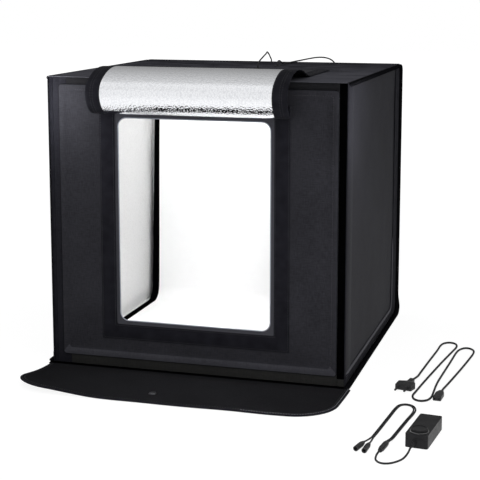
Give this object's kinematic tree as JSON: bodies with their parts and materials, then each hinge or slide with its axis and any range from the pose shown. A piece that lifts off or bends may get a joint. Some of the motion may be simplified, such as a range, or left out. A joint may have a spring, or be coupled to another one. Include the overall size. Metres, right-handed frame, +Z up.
{
  "type": "light tent cube",
  "caption": "Cube-shaped cloth photo tent with silver lining, side-hung front, window flap over the roof, floor apron, light bars and a dimmed supply.",
  "frame": {"origin": "middle of the underside of the tent floor", "axes": "+Z up, the front with its window faces -Y, +X to the right seen from the front"},
  "size_m": [0.8488, 0.9853, 0.631],
  "materials": {
    "black_cloth": "matt woven",
    "black_tape": "matt ribbed",
    "silver_foil": "bright pebbled foil",
    "white_sheet": "satin",
    "flap_cloth": "silver foil face, black cloth back",
    "snap_metal": "polished",
    "bar_metal": "satin",
    "light_strip": "matt",
    "diffuser": "frosted",
    "grommet_rubber": "matt",
    "cord_jacket": "satin",
    "adapter_plastic": "fine grained",
    "knob_plastic": "satin",
    "plug_plastic": "satin"
  },
  "bodies": {
    "tent": {"adapter_base": "adapter_plastic", "adapter_cover": "adapter_plastic", "backdrop": "white_sheet", "backdrop_binding_left": "black_tape", "backdrop_binding_right": "black_tape", "backdrop_tape": "black_tape", "dc_lead": "cord_jacket", "dc_strain_relief": "plug_plastic", "dimmer_control": "adapter_plastic", "floor_cloth": "black_cloth", "floor_liner": "silver_foil", "front_bar_housing": "bar_metal", "front_bar_lead": "cord_jacket", "front_diffuser": "diffuser", "front_lead_socket": "plug_plastic", "front_light_strip": "light_strip", "front_roof_grommet": "grommet_rubber", "front_surround": "black_cloth", "inline_connector": "plug_plastic", "left_edge_binding": "black_tape", "left_lap_band": "black_tape", "left_wall_cloth": "black_cloth", "left_wall_liner": "silver_foil", "mains_connector": "plug_plastic", "mains_inlet": "plug_plastic", "mains_lead": "cord_jacket", "mains_plug": "plug_plastic", "rear_bar_housing": "bar_metal", "rear_bar_lead": "cord_jacket", "rear_diffuser": "diffuser", "rear_lead_socket": "plug_plastic", "rear_light_strip": "light_strip", "rear_roof_grommet": "grommet_rubber", "rear_wall_cloth": "black_cloth", "rear_wall_liner": "silver_foil", "right_edge_binding": "black_tape", "right_lap_band": "black_tape", "right_wall_cloth": "black_cloth", "right_wall_liner": "silver_foil", "roof_cloth": "black_cloth", "roof_liner": "silver_foil", "splitter_lead_left": "cord_jacket", "splitter_lead_right": "cord_jacket", "splitter_socket_left": "plug_plastic", "splitter_socket_right": "plug_plastic"},
    "door": {"door_cloth": "black_cloth", "door_liner": "silver_foil", "window_tape": "black_tape", "flap_header": "black_cloth"},
    "flap_1": {"flap_panel_1": "flap_cloth"},
    "flap_2": {"flap_panel_2": "flap_cloth"},
    "flap_3": {"flap_panel_3": "flap_cloth"},
    "flap_4": {"flap_panel_4": "flap_cloth"},
    "flap_5": {"flap_panel_5": "flap_cloth", "flap_panel_6": "flap_cloth"},
    "apron": {"apron_sheet": "black_cloth", "apron_binding": "black_tape", "apron_snap": "snap_metal"},
    "knob": {"dimmer_knob": "knob_plastic"}
  },
  "joints": [
    {"name": "door_swing", "type": "hinge", "parent": "tent", "child": "door", "pos_m": [-0.2868, -0.3003, 0.3], "axis": [0, 0, -1], "range_deg": [0, 180]},
    {"name": "flap_lift", "type": "hinge", "parent": "door", "child": "flap_1", "pos_m": [0, -0.3086, 0.53], "axis": [1, 0, 0], "range_deg": [0, 110.73]},
    {"name": "flap_fold_2", "type": "hinge", "parent": "flap_1", "child": "flap_2", "pos_m": [0, -0.34622, 0.54424], "axis": [1, 0, 0], "range_deg": [0, 62.25]},
    {"name": "flap_fold_3", "type": "hinge", "parent": "flap_2", "child": "flap_3", "pos_m": [0, -0.35125, 0.58516], "axis": [1, 0, 0], "range_deg": [0, 62.97]},
    {"name": "flap_fold_4", "type": "hinge", "parent": "flap_3", "child": "flap_4", "pos_m": [0, -0.31257, 0.6113], "axis": [1, 0, 0], "range_deg": [0, 27.18]},
    {"name": "flap_fold_5", "type": "hinge", "parent": "flap_4", "child": "flap_5", "pos_m": [0, -0.25059, 0.61876], "axis": [1, 0, 0], "range_deg": [0, 11.8]},
    {"name": "apron_fold", "type": "hinge", "parent": "tent", "child": "apron", "pos_m": [0, -0.3145, 0.0045], "axis": [-1, 0, 0], "range_deg": [0, 88]},
    {"name": "dimmer_turn", "type": "hinge", "parent": "tent", "child": "knob", "pos_m": [0.49472, -0.55884, 0.024], "axis": [0, 0, 1], "range_deg": [0, 270]}
  ]
}
